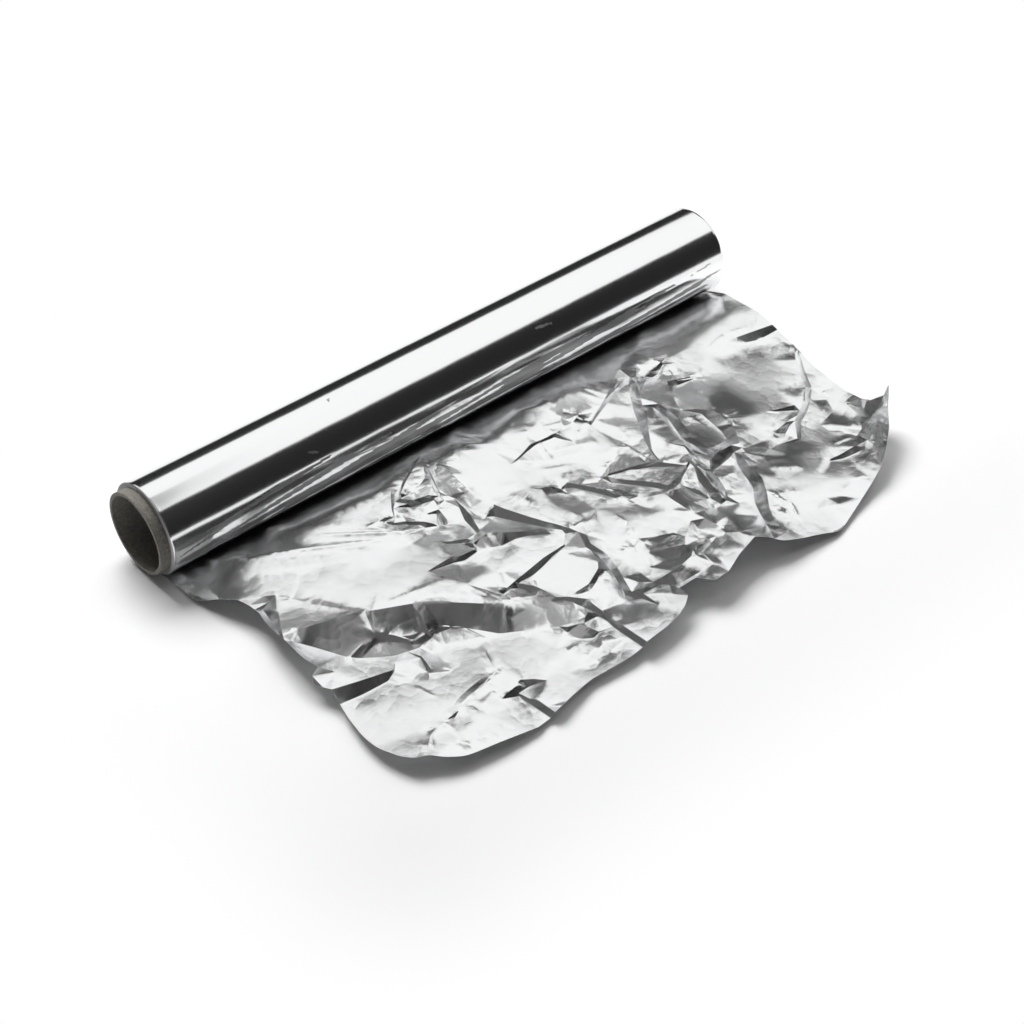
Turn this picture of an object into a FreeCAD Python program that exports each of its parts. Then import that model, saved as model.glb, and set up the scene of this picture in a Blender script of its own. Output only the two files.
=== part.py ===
import FreeCAD, Part
import math
import os

# Household foil roll with its end pulled out and crumpled. Millimetres.
# X runs along the roll, the pulled sheet goes towards -Y, +Z is up.
# The origin is on the roll's axis, at the middle of the foil's width.

# The cardboard core
core_length = 300.0
core_outer_radius = 17.95
core_wall = 1.45
core_stands_out = 4.7      # the core sits this far out of the foil at the -X end

# The wound foil
foil_width = 300.0
wound_depth = 2.0          # all the turns together
core_slip = 0.05           # between the core and the first turn
turn_bundles = 5           # the turns show as bundles at the roll's ends
bundle_step = 0.25         # how far a bundle's edge stands back from its neighbour's

# The pulled sheet
pulled_length = 168.0      # from under the roll to the cut edge, in plan
crumple_height = 22.0      # the highest corner above the table
sheet_thickness = 0.3      # thicker than foil, so that the sheet is a solid
seat_width = 7.0           # strip that lies flat on the table under the roll
root_lift = 0.1            # the sheet's root starts this far inside the last turn
fold_step = 5.5            # longest stretch of a fold line between two corners
shortest_stretch = 1.8     # a shorter stretch is not halved to make the facets follow the fold
halving_rounds = 5         # the most rounds of halving
corner_gap = 0.45          # corners nearer than this are one corner
steepest_fold = 76.0       # degrees, for any facet of the sheet
ease_turns = 40            # the most rounds of letting steep folds down
ease_share = 0.25          # of the way to the facet's mean height, in each round
climb_extra = 8.0          # the sheet climbs this much more steeply where it comes out in front of the roll
climb_y = (-6.0, -60.0)    # the stretch over which it does so
climb_haste = 0.6          # under 1, the extra height comes early in that stretch
climb_x = (-149.0, 78.0)
climb_fade = 26.0          # over which the extra height comes in from the ends of climb_x

weld_gap = corner_gap / 100  # between facets that share a corner
far_reach = 10 * foil_width  # well outside the sheet
tiny_area = 1e-9             # corners in a line have no circle through them
foil_inner_radius = core_outer_radius + core_slip
roll_radius = foil_inner_radius + wound_depth
table = -roll_radius

# The folds were read in plan from one point of view, at a sheet of the drawn sizes. Each point
# is (x, y, height): where the eye sees it against the table, and how high its underside stands.
eye = (-444.0, -561.0, 562.0)
drawn_width = 300.0
drawn_length = 168.0
drawn_height = 22.0

left_edge = [
    (-149.4, 0, 0), (-149, -10, 0), (-148.5, -20, 0.3), (-148, -28.5, 1), (-140, -33.5, 5.4),
    (-135, -38.5, 7.4), (-133.5, -44, 8.5), (-133, -50.5, 10), (-134.5, -58, 11), (-134.5, -65, 12.6),
    (-134.5, -72, 13.6), (-135, -80, 13.4), (-133.3, -88.5, 12.8), (-138, -91, 8), (-140.5, -95, 7),
    (-136.5, -101.5, 7.8), (-139, -109.5, 4.4), (-141, -117.5, 4.4), (-142.5, -128, 5), (-142, -136, 5.6),
    (-138, -145, 7), (-134, -149.2, 7.8), (-130.5, -150, 7.8), (-126, -155.5, 6.8), (-120, -160, 5.6)]
cut_edge = [
    (-120, -160, 5.6), (-105, -163, 5), (-91, -166.2, 3), (-84.5, -165.8, 1.5), (-81.3, -164.6, 6),
    (-70, -162.3, 5), (-60, -160.8, 3.8), (-40, -161.7, 4.4), (-33.3, -161, 4.5), (-30, -159.7, 7.5),
    (-18, -158.7, 8), (-10, -157, 8), (-4, -154.5, 9), (0, -151.5, 10), (0.5, -146.3, 12),
    (10, -146, 11.4), (15, -152, 11.4), (22, -152, 11.6), (33, -147.5, 12.4), (45, -144.3, 14),
    (48, -147, 12), (52, -154, 9), (60, -158, 6), (68, -161.5, 4), (73, -165, 1.5), (88, -159.5, 2.5),
    (105, -153, 5), (118, -147.5, 8), (130, -139.5, 11), (140, -132, 14), (150, -122.5, 18),
    (163, -111.5, 22)]
right_edge = [
    (163, -111.5, 22), (155, -115.7, 17), (148, -114.5, 11), (145.5, -111, 6), (144.7, -104, 4),
    (145.2, -95, 3), (147, -82, 3), (149.8, -72, 4), (152, -64.5, 6), (155, -51.5, 6.5), (156, -47.3, 9),
    (158.3, -37, 9.6), (157.5, -26, 8.2), (157, -15.5, 6.7), (152.4, -8.5, 2.4), (149.4, 0, 0)]

folds = dict(
    apex_ridge=[(-135, -38.5, 7.4), (-122.3, -45.7, 9.8)],
    apex_notch=[(-133, -50.5, 10), (-131, -49.2, 7.6), (-122.3, -45.7, 9.8)],
    apex_side=[(-131, -49.2, 7.6), (-132.3, -58, 10), (-133.3, -65.7, 13.6)],
    apex_drop=[(-122.3, -45.7, 9.8), (-133.3, -65.7, 13.6)],
    pillow_crease=[(-119, -49.5, 11), (-112, -60, 11.8), (-106.5, -69, 12.4), (-101.5, -76, 13)],
    big_ridge=[(-134.5, -65, 12.6), (-133.3, -65.7, 13.6), (-118, -70, 13.8), (-104, -74.5, 13.8),
               (-99, -77.5, 13.6), (-84, -85, 13), (-78.5, -88.3, 12.6), (-66, -100.5, 10.4),
               (-57.5, -108.3, 8.4), (-55, -110.3, 7.5), (-50, -115.5, 6.3), (-44, -119, 5.8),
               (-39.5, -121, 5.8), (-37, -125, 5), (-35.5, -130, 3.5)],
    big_lip=[(-76, -86.5, 13.2), (-66, -95.5, 11.4), (-56.5, -105.5, 9.4)],
    big_valley=[(-134.5, -72, 13.6), (-133, -70.5, 12.6), (-128, -79.5, 8.4), (-121.3, -93, 5),
                (-115, -98, 4), (-108, -102.7, 2.8), (-98, -105.5, 2.8), (-96.5, -112, 2.4),
                (-90.5, -110, 2.4), (-80, -116, 2.2), (-70, -119.5, 2), (-57, -127.5, 1.8),
                (-50, -131.5, 1.8), (-46, -133, 2)],
    ledge_one=[(-107, -89.5, 8), (-97, -98, 6), (-92, -98.5, 6)],
    ledge_one_foot=[(-108, -92.5, 6.3), (-98, -99.7, 5), (-91, -104.5, 3.5)],
    ledge_two=[(-89, -99.5, 7), (-84, -100, 6.5), (-77.5, -108.5, 4.3)],
    ledge_two_foot=[(-89, -103.5, 4), (-82, -105.5, 3.6), (-77.8, -109, 3.6)],
    second_ridge=[(-136.5, -101.5, 7.8), (-125, -105, 6.2), (-113, -108.3, 4.6)],
    second_foot=[(-139, -109.5, 4.4), (-130, -111, 2.8), (-118, -111.7, 2.8), (-113, -109.2, 3.8)],
    second_floor=[(-141, -117.5, 4.4), (-120, -118, 3.8), (-104.5, -117.8, 3.2)],
    pyramid=[(-113, -108.3, 4.6), (-107, -103.3, 3.2), (-104.5, -117.8, 3.2)],
    pyramid_slit=[(-100.3, -109.5, 5), (-102, -117.6, 4.4)],
    pyramid_slit_foot=[(-101.3, -110, 4), (-103.8, -117.6, 3.2)],
    plateau_line=[(-104, -118.5, 3.8), (-109, -126.5, 4.6), (-112, -129, 5)],
    plateau_ridge=[(-120, -142.5, 5.4), (-112, -140.3, 6), (-105, -136, 5.8), (-95, -134, 5.4),
                   (-84, -133, 4.8), (-80, -131.5, 4.2)],
    plateau_foot=[(-111, -142.7, 4.4), (-105, -139.5, 4.3), (-95, -136.4, 4.2), (-84, -134.7, 4.2)],
    tent_ridge=[(-92, -146.8, 4.2), (-86, -145, 4.8), (-80, -143.5, 5), (-76, -146.5, 4.6),
                (-72.5, -150.5, 4)],
    tent_foot=[(-85, -148.4, 3), (-80, -148.4, 2.8), (-76, -149.4, 3)],
    slit_low=[(-86, -149.7, 2.3), (-85.5, -157, 1.6), (-84.5, -165.8, 1.5)],
    slit_high=[(-86, -149.7, 2.3), (-82, -156, 4.8), (-81.3, -164.6, 6)],
    tab_ridge=[(-49.7, -136.3, 3), (-47.5, -134, 4.8), (-43, -135.5, 5.5), (-40.2, -143.6, 3.6)],
    tab_foot=[(-49.5, -139.5, 2.3), (-48, -142.3, 2), (-44, -145, 1.7), (-40.3, -144.2, 2.2)],
    tri_ridge=[(-41.5, -135.7, 3.2), (-36, -133, 5.3), (-32.7, -137.3, 4)],
    tri_foot=[(-41.3, -136.5, 2.5), (-36, -137, 2.2), (-32.7, -138, 2.8)],
    rib_ridge=[(-31.5, -131, 5), (-31, -146, 6), (-30, -159.7, 7.5)],
    rib_foot=[(-33.7, -138, 2.8), (-34.2, -149, 3.2), (-33.3, -161, 4.5)],
    small_ridge=[(-56.5, -152.7, 3), (-50, -151, 3.6), (-43, -149.5, 4)],
    small_foot=[(-56, -154.2, 2.6), (-44, -154.6, 2.8)],
    bar_ridge=[(-55, -103, 7.5), (-46, -101, 8.7), (-38, -99.7, 9), (-28, -98, 9), (-17, -97.6, 8.6)],
    bar_foot=[(-54.5, -104, 7), (-45.5, -102.9, 6.3), (-38, -103.1, 6.4), (-32, -101.9, 6.5),
              (-25, -99.9, 7), (-17, -98.6, 8)],
    fin_ridge=[(-46, -103, 7.5), (-42, -108, 7), (-41.3, -110.2, 6)],
    fin_foot=[(-47.8, -105, 5.3), (-44.5, -109.7, 4.4), (-42, -111, 5.4)],
    shoulder=[(-54, -108, 8), (-48, -110.8, 7.6), (-43, -116, 6.9), (-36, -121.5, 6.6),
              (-31, -127.5, 5.6)],
    valley_tail=[(-35.5, -130, 3.5), (-33.5, -137, 3)],
    wing_ridge=[(-30, -124.3, 5.8), (-25, -121.3, 7.2), (-16, -117, 8.7), (-11.8, -112, 9.2)],
    wing_foot=[(-27, -124.6, 5.8), (-16, -119.6, 6.8)],
    keel_foot=[(-11.3, -104, 7.6), (-10.7, -111, 6.5), (-13, -121, 4.8), (-17, -132, 2.8),
               (-20, -138.5, 1.6)],
    keel_ridge=[(-8.3, -104, 9.5), (-7.7, -112, 10), (-10, -122, 8.8), (-14, -132, 6.6),
                (-16.5, -139, 4.5)],
    keel_back=[(-6, -108, 9.8), (-5.5, -120, 9.2), (-5, -130, 8.8), (-5, -137, 8)],
    notch_tri=[(-9.3, -133.5, 5.6), (-7.3, -129, 8.2), (-5, -136.7, 7)],
    lip_join=[(-20, -138.5, 1.6), (-15, -141, 3.6), (-10, -137.5, 7)],
    step_ridge=[(-10, -137.5, 7), (0, -137.2, 9.6), (10, -137.2, 11.4), (17, -136, 12)],
    step_foot=[(-4, -140, 5.6), (1.5, -144.6, 7.6), (10, -144.7, 8.6), (21, -145, 9.4)],
    block_ridge=[(5.5, -123.3, 10.5), (19.5, -128.8, 12), (32, -120.5, 11.4), (36, -117, 12.2)],
    block_foot=[(6.2, -125, 9.4), (9, -131.7, 6.8), (17, -135.6, 8)],
    block_side=[(20, -129.6, 11.4), (27, -131, 9.4), (31, -126, 9), (32, -121.5, 10.8)],
    wall_foot=[(30, -133.2, 8.2), (37.5, -135, 9.6)],
    wall_side=[(36.5, -118, 12), (38.5, -128, 10.8), (37.5, -135, 9.6)],
    pad_ridge=[(17.5, -136.2, 12), (20, -134, 12.2), (29.5, -132.2, 10.8)],
    pad_foot=[(18.3, -137.2, 10), (22, -136.7, 9.6), (29.5, -135.4, 8.6)],
    sliver_ridge=[(8.5, -114.6, 10.6), (15, -118.6, 11), (21.5, -121, 11)],
    sliver_foot=[(9, -116.2, 9.7), (12, -120.9, 8.8), (20, -121.7, 10.2)],
    post_ridge=[(37.8, -104, 12.4), (38.8, -112, 12.4)],
    post_foot=[(35.6, -103.5, 11), (36, -112, 10.9)],
    shelf_ridge=[(39.8, -98.5, 12), (47, -96.8, 12.6), (53, -95, 12.8), (58, -92.7, 13)],
    shelf_foot=[(38.3, -101.4, 9.2), (45, -100.8, 9.4), (50, -97.8, 10.8), (57.6, -94, 12.2)],
    vee_one_foot=[(24, -82, 9), (31, -90, 8.4), (38, -99.6, 9.2)],
    vee_one_ridge=[(27, -81, 10), (36, -91, 10.7), (41, -98, 11.8)],
    vee_two_foot=[(25, -77.6, 9.6), (36, -81.6, 9.2), (44, -85.8, 9.2), (51.5, -91.6, 10)],
    vee_two_ridge=[(27, -76.6, 10.5), (37, -79.3, 11), (45, -82.2, 11.4), (52.5, -90, 11.6)],
    fan_one_foot=[(57.4, -96.5, 12), (52.5, -104, 9.6), (50, -112, 8.2), (46.3, -119.5, 7.2)],
    fan_one_ridge=[(58.6, -97, 13.2), (56, -107, 12), (54, -114, 11), (52, -118.5, 10.4)],
    fan_two_foot=[(59, -101.5, 11.6), (57, -110, 10), (53.5, -118.8, 8.8)],
    fan_two_ridge=[(60.6, -103, 13.4), (60, -108.5, 13), (57, -115.5, 12.4), (54.5, -119.5, 10.8)],
    fan_three_foot=[(63.6, -84.5, 12), (61, -92, 11.2), (59.9, -101, 11.8)],
    fan_three_ridge=[(64.6, -84, 13), (62.8, -93, 13.2), (61.2, -101, 13.4)],
    fan_wedge_foot=[(45, -104, 9.6), (45.4, -109, 8.2), (47.4, -114.7, 7.8)],
    fan_wedge_ridge=[(45.6, -103.5, 10.3), (48.3, -109, 10.6), (48, -114, 9)],
    fan_end=[(45, -121.5, 7), (52.3, -121, 7.8), (54, -125, 8)],
    roof_ridge=[(61.2, -102.3, 13.4), (65, -98.3, 14.2), (71, -96.3, 14.2), (79.5, -96.7, 13.6)],
    roof_foot=[(61.2, -103.6, 12.2), (66, -103.4, 10.4), (73, -102.2, 9.9), (77, -100.8, 10.4)],
    band_foot=[(75.5, -103, 10.2), (72, -108, 8.8), (69, -115, 8.2), (66.5, -122, 7.6), (60, -129.5, 6.8),
               (56, -137, 6.2), (52, -146, 5.6), (49.5, -151, 7.5)],
    band_ridge=[(78, -104, 13), (75, -112, 12.6), (74, -120, 12), (69.5, -127, 11.6), (62, -136, 10.6),
                (58, -143, 9.6), (56, -151, 8.4)],
    leaf_ridge=[(86, -69.5, 10.8), (90.5, -75, 11.8), (92, -83, 12.4), (88, -91, 12.8), (83, -98, 12.8),
                (80.5, -104, 12.2), (79.5, -113, 10.5)],
    leaf_foot=[(85, -73, 9.6), (84, -80, 8.8), (83, -87, 8.8), (80.8, -93, 9.4)],
    spine_foot=[(72.3, -56, 8.8), (72, -65, 8.2), (66.8, -80, 8.8), (68, -93, 10.4)],
    spine_ridge=[(76, -55.8, 10.6), (76.2, -61, 11), (75, -70, 11.2), (72, -80, 11.4), (70.6, -92, 12.8)],
    blade_foot=[(50, -78, 10.4), (55, -68, 9.2), (60, -59.5, 8.6), (66, -49.5, 8), (72, -41.5, 7.6),
                (79.5, -33.6, 7)],
    blade_ridge=[(51.2, -77.6, 11), (59.3, -67, 12.6), (65.3, -60, 13), (69.8, -52, 13), (75.5, -44, 12),
                 (79, -38.6, 10.6), (88, -28.6, 9), (97, -20.5, 7), (108, -12, 3)],
    beam_ridge=[(45, -46, 8.2), (60, -38.3, 9.2), (70, -31.5, 9.6), (80, -26.4, 9), (92, -21, 7),
                (104, -12, 3)],
    strip_edge=[(45, -22, 4.4), (58, -23.5, 4.8), (70, -25.5, 5.6), (80, -26.4, 9)],
    beam_foot=[(43, -48, 7), (55, -42.6, 6.7), (68, -38, 6.2), (75, -36.2, 6)],
    roll_line=[(-22, -40, 9), (-9, -32.7, 6.6), (8, -28, 4.8), (20, -20.7, 3.2), (32, -16, 2),
               (43, -9, 1.2)],
    crest_one=[(0, -45, 8.2), (8, -43, 9.4), (15, -40.4, 9.6), (22, -41.4, 9.4), (28, -42, 9),
               (34, -40.3, 9.2), (43, -42, 8.2)],
    crest_one_foot=[(4, -45.2, 7.8), (15, -42.4, 7.8), (26, -43.6, 7.8)],
    crest_side=[(17, -32.5, 6.8), (26, -35, 7.4), (30, -39.6, 8.8)],
    pillar=[(36.5, -23, 4.6), (37.2, -31, 6.2), (38, -38, 7.6)],
    pillar_back=[(40, -23, 5.6), (41, -31, 7.4), (44.5, -39, 8.6)],
    kite_crease=[(10, -52, 8.4), (15, -56, 8.6), (21, -63.5, 8.2), (28, -72, 8.4)],
    kite_wing=[(28, -72.4, 8.4), (33, -70, 9.4), (42, -66.5, 10)],
    kite_foot=[(19, -77.5, 8), (26, -75, 8.2), (39, -70, 9)],
    thin_crease=[(52, -59, 9.8), (45.5, -65.3, 9.2), (46, -70, 8.8), (44, -80.5, 9.6)],
    thorn=[(-1.6, -64.2, 10.2), (6.8, -70, 9.2), (10.6, -69.4, 9.6)],
    thorn_foot=[(-1.2, -66, 8.8), (5.3, -75, 6.8), (7.2, -71, 8)],
    quill_ridge=[(10.8, -70.6, 9.8), (13, -73.5, 10), (18, -82, 10.6), (20.2, -89.3, 10.4)],
    quill_foot=[(9.8, -74, 7.6), (15, -83, 7.8), (18.4, -90, 8.4)],
    spur_ridge=[(21, -84.6, 10.4), (23.7, -87, 10.6), (25.7, -93.8, 10)],
    spur_foot=[(21.8, -88.5, 8.6), (22, -94.2, 8)],
    spur_tail=[(22, -97.8, 8.6), (26.6, -95.3, 9.6), (25.4, -105, 10)],
    sash_left=[(-24.5, -18, 4), (-29.5, -30, 6), (-34, -40, 7.2), (-31.7, -47.5, 7.6), (-32, -60, 8.6),
               (-27, -71, 8.8), (-17, -84, 8.6), (-12, -93, 8.6)],
    sash_right=[(-24, -18.5, 4.2), (-22.5, -30, 8), (-23.8, -42, 9.4), (-24.3, -52, 10.2),
                (-21, -64, 10.6), (-16, -76, 10.8), (-10, -88, 11), (-6, -99, 10.8), (-1, -108, 10.4)],
    sash_mid=[(-27, -66, 7.6), (-20, -78, 7.8), (-11.5, -90.5, 8.2)],
    chip=[(-24, -19, 4.4), (-20, -11.5, 2), (-17.6, -21, 4.6), (-20.5, -29.5, 6.6)],
    swell=[(-13, -29, 6.4), (-9, -20, 4.6), (-5.5, -12.5, 2)],
    ray_one=[(-55.5, -34.5, 8.6), (-50, -27, 7), (-46.3, -21, 5.4), (-30, -12.3, 2.4)],
    ray_one_foot=[(-54.8, -35, 7.6), (-49.3, -30, 5.6), (-40, -23.5, 4.2), (-28, -16.5, 3)],
    ray_two=[(-49, -31, 7.6), (-40, -25, 6), (-25, -15.8, 3.6)],
    ray_two_foot=[(-48.6, -32, 6.2), (-42, -33, 5.8), (-33, -28.4, 5), (-26, -19, 3.8)],
    ray_three=[(-36.4, -44.5, 8.4), (-35.3, -38, 8.2), (-31, -27, 6.6), (-26, -19, 4.2)],
    ray_three_foot=[(-36, -45, 7.4), (-33.8, -39, 6.4), (-31.3, -33, 5.8), (-27.5, -24.5, 4.6)],
    hook_one=[(-49.4, -32, 8), (-45.5, -36.5, 7.8), (-38.6, -38, 8.6)],
    hook_one_foot=[(-49.3, -33.5, 7), (-48.5, -39.8, 6.2), (-39, -42, 7)],
    hook_two=[(-66, -38, 8.8), (-60, -42.6, 9), (-52.5, -48, 9.2), (-50.5, -50, 9.2), (-44.5, -43, 8.4)],
    hook_two_foot=[(-62, -43, 8.6), (-53.2, -50.4, 8.4), (-52, -56, 7.6), (-47, -56, 7.4)],
    hook_three=[(-38.4, -38.5, 8.8), (-38.6, -44, 9), (-41.3, -47.6, 9.2), (-42.5, -54.6, 9)],
    hook_three_foot=[(-40, -45.6, 7.6), (-43, -50, 7.2), (-45.6, -56, 7)],
    hook_tail=[(-48.5, -62.5, 8.8), (-44, -57, 8.6)],
    wedge_left=[(-32.4, -48.5, 9), (-37.6, -60, 7.4), (-39, -69.4, 7.6)],
    wedge_right=[(-32, -48.5, 9.4), (-33.4, -58, 9.8), (-36.8, -68.6, 9.2)],
    arc_ridge=[(-53.5, -63.5, 9.8), (-50.5, -66, 9.8), (-44, -69.3, 9.6)],
    arc_foot=[(-52.5, -66.5, 8.4), (-47.5, -70, 8), (-43.5, -71, 8.4)],
    knot=[(-57.5, -77, 9), (-55.5, -73.6, 10.6), (-53, -75.5, 10.4), (-46, -76.4, 9.8)],
    knot_foot=[(-56, -79.6, 8.4), (-53.2, -78.8, 8.2), (-46, -78, 8.8)],
    vane_ridge=[(-44, -73, 10.6), (-40, -72.4, 11), (-34, -73, 11.4), (-30, -76.4, 11.4),
                (-24, -80.8, 11), (-18, -84.4, 10.4), (-14.6, -88.8, 9.4)],
    vane_foot=[(-44, -75, 9.6), (-42, -79, 8.8), (-36, -81.8, 8), (-29, -82.2, 8), (-24, -84.4, 8),
               (-16.4, -89.4, 8.6)],
    band_one=[(-128, -13, 1.4), (-118, -21.5, 2.9), (-108, -28.5, 4.9), (-98, -34.5, 6.9),
              (-89, -41, 9.2), (-80, -48.5, 11.7)],
    band_one_foot=[(-132, -20, 0.8), (-122, -28.5, 2.8), (-112, -35.5, 5.6), (-102, -41.5, 8),
                   (-92, -47, 10.2), (-81, -50.5, 11.9)],
    band_two=[(-101, -11.5, 2.9), (-89, -21.5, 4.2), (-77, -32, 7), (-67.5, -40.5, 10),
              (-60.5, -49, 11.2)],
    strip_left=[(-86, -17.5, 3.8), (-75, -19.5, 4.3), (-65, -20.5, 4.7), (-58, -22, 5)],
    band_two_foot=[(-107, -18.5, 1.2), (-95, -28, 4.6), (-83, -38, 7.8), (-72.5, -45.5, 10.2),
                   (-63, -51, 11.2)],
    rag_ridge=[(84, -33.7, 8), (90, -31.6, 8.6), (95.6, -30.8, 8.4), (98.5, -33.7, 8)],
    rag_mid=[(84.5, -37.6, 6.6), (98, -34.6, 7.6)],
    rag_foot=[(79.5, -40.4, 7), (84, -40.4, 5.2), (90, -40.2, 5), (97, -36.4, 6)],
    right_line=[(98, -35.6, 7.2), (108, -30.3, 6), (118, -23.5, 5.4), (130, -19, 5.2), (146, -16.5, 5.4)],
    right_fold=[(95.5, -47, 7), (106, -35, 7)],
    fleck=[(89.5, -46.6, 7.4), (93, -48, 7.4), (104, -52.4, 6)],
    fleck_foot=[(90.4, -49.4, 6), (92, -51.8, 5.4), (104, -54.4, 5.6)],
    soft_line=[(102, -45, 6.4), (116, -48.2, 5.8), (130, -52, 5.2), (142, -55.4, 4.8)],
    gore_ridge=[(127, -42, 6.6), (140, -44.2, 7.8), (156, -47.3, 9)],
    gore_foot=[(128.5, -44, 6.8), (136, -48.5, 5.6), (143, -51.5, 5.4), (155, -51.5, 6.5)],
    gash_high=[(152, -64.5, 6), (144.7, -72.5, 7.4), (138.7, -80, 7), (132.7, -90, 6.6),
               (126, -95.2, 6.6), (119, -99.2, 6.5), (112, -102.8, 6), (104, -112, 4.4)],
    gash_low=[(152.2, -66.5, 4.6), (147.5, -73, 3.6), (141.5, -81, 3), (135.5, -90.5, 2.6),
              (128, -97.2, 2.6), (121, -101.9, 2.6), (113.5, -105.2, 2.8), (104.6, -113.6, 3.4)],
    gash_tri=[(117.7, -98, 5.2), (120, -95, 7.4), (126.7, -92.8, 7.4)],
    claw_one=[(135, -92, 2.6), (134.3, -100.3, 1.2)],
    claw_two=[(144.8, -95.2, 3), (137, -98, 1.4), (133.5, -101.5, 0.9), (130, -109, 0.8)],
    ramp_ridge=[(95, -104, 6.6), (103, -102, 7), (109, -101, 6.8)],
    ramp_foot=[(90, -109, 4.8), (96, -109.7, 4.3), (103, -106.2, 4.2), (108.5, -103.4, 4.8)],
    curl_one=[(125, -127, 3), (139, -122.5, 6.5), (152, -117.6, 13)],
    curl_two=[(136, -119.4, 3.6), (145.5, -114, 6.8)],
    curl_three=[(121.5, -134.5, 4.4), (130, -130.5, 7), (140, -125.5, 10.5), (152.5, -119, 16)],
    cuff_ridge=[(104, -130.5, 4.6), (110, -131.3, 4.8), (119, -131.4, 5), (121.5, -134.5, 4.4)],
    cuff_foot=[(104, -131.8, 4), (109, -134, 3), (119, -135.4, 3.2)],
    hem_line=[(109, -139.5, 4), (119, -138.7, 5.4)],
    pocket=[(61, -146, 7.4), (68, -147, 6), (75, -149.5, 4.4), (81, -151.3, 3.4), (86, -154.3, 2.6)],
)
fills = [
    (-100, -55, 12), (-84, -60, 12.6), (-90, -70, 13.6), (-72, -74, 12.4), (-66, -60, 11),
    (-128, -33, 4.2), (-140, -20, 0.8), (-62, -90, 11.4), (-46, -90, 9.6), (-30, -91, 9.2),
    (-5, -60, 9.6), (8, -62, 9), (-3, -80, 10), (8, -92, 9.6), (0, -118, 9.6), (20, -106, 10.6),
    (30, -110, 11), (30, -52, 8.6), (30, -60, 9), (55, -50, 7.6), (60, -78, 10.6), (85, -55, 8),
    (80, -65, 9), (95, -75, 10.8), (105, -65, 7), (118, -66, 6.8), (135, -66, 6), (120, -80, 7),
    (106, -90, 8.4), (95, -95, 9.6), (148, -60, 6), (140, -30, 8), (120, -35, 6.4), (128, -105, 3),
    (118, -112, 3), (138, -108, 2.6), (95, -120, 6), (108, -122, 4.4), (90, -135, 6.6), (100, -142, 5),
    (84, -145, 5.6), (72, -138, 8), (80, -125, 9), (85, -112, 9), (46, -128, 9.8), (55, -126, 8.4),
    (42, -138, 12.4), (30, -141, 11), (25, -146, 11.4), (0, -130, 9.6), (-4, -147, 7.6), (-12, -150, 6.2),
    (-22, -150, 6.4), (-22, -130, 5.6), (-60, -140, 3), (-66, -152, 4), (-100, -150, 5.4),
    (-115, -150, 6), (-128, -138, 5.8), (-128, -125, 4.8), (-95, -124, 3.8), (-75, -130, 3.4),
    (-130, -95, 6)]


def divided(line):
    """Points along a line of corners, no further apart than fold_step."""
    points = []
    for a, b in zip(line[:-1], line[1:]):
        parts = max(1, math.ceil(math.hypot(b[0] - a[0], b[1] - a[1]) / fold_step))
        for i in range(parts):
            points.append(tuple(p + (q - p) * i / parts for p, q in zip(a, b)))
    points.append(tuple(float(p) for p in line[-1]))
    return points


def across(y, height):
    """A straight line across the sheet under the roll, from its right edge to its left edge."""
    return [(right_edge[-1][0], y, height), (left_edge[0][0], y, height)]


def corners_of(lines):
    """The corners of all lines, each place once, and the stretches of line between them."""
    cells = {}
    points = []
    stretches = []
    for line in lines:
        last = None
        for point in line:
            column = math.floor(point[0] / corner_gap)
            row = math.floor(point[1] / corner_gap)
            near = [k for i in (-1, 0, 1) for j in (-1, 0, 1) for k in cells.get((column + i, row + j), [])]
            near = [k for k in near if math.dist(point[:2], points[k][:2]) <= corner_gap]
            if not near:
                cells.setdefault((column, row), []).append(len(points))
                near = [len(points)]
                points.append(point)
            if last not in (None, near[0]):
                stretches.append((last, near[0]))
            last = near[0]
    return points, stretches


def halved(points, stretches, triangles):
    """The stretches, those that no facet's edge follows in two halves, whose middles join the points."""
    edges = {frozenset(edge) for triangle in triangles for edge in zip(triangle, triangle[1:] + triangle[:1])}
    halves = []
    for a, b in stretches:
        if frozenset((a, b)) in edges or math.dist(points[a][:2], points[b][:2]) < shortest_stretch:
            halves.append((a, b))
        else:
            halves += [(a, len(points)), (len(points), b)]
            points.append(tuple((p + q) / 2 for p, q in zip(points[a], points[b])))
    return halves


def climbing(point):
    """The point with the extra height that the sheet has just in front of the roll."""
    x, y, height = point
    if not climb_y[1] < y < climb_y[0] or not climb_x[0] < x < climb_x[1]:
        return point
    share = (y - climb_y[0]) / (climb_y[1] - climb_y[0])
    bump = math.sin(math.pi * share ** climb_haste) ** 2
    fade = min(1.0, (x - climb_x[0]) / climb_fade, (climb_x[1] - x) / climb_fade)
    return x, y, height + climb_extra * bump * fade


def circle_through(a, b, c):
    """Centre and squared radius of the circle through three plan points."""
    d = 2 * (a[0] * (b[1] - c[1]) + b[0] * (c[1] - a[1]) + c[0] * (a[1] - b[1]))
    if abs(d) < tiny_area:
        return 0.0, 0.0, math.inf
    sa, sb, sc = (p[0] ** 2 + p[1] ** 2 for p in (a, b, c))
    x = (sa * (b[1] - c[1]) + sb * (c[1] - a[1]) + sc * (a[1] - b[1])) / d
    y = (sa * (c[0] - b[0]) + sb * (a[0] - c[0]) + sc * (b[0] - a[0])) / d
    return x, y, (a[0] - x) ** 2 + (a[1] - y) ** 2


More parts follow.
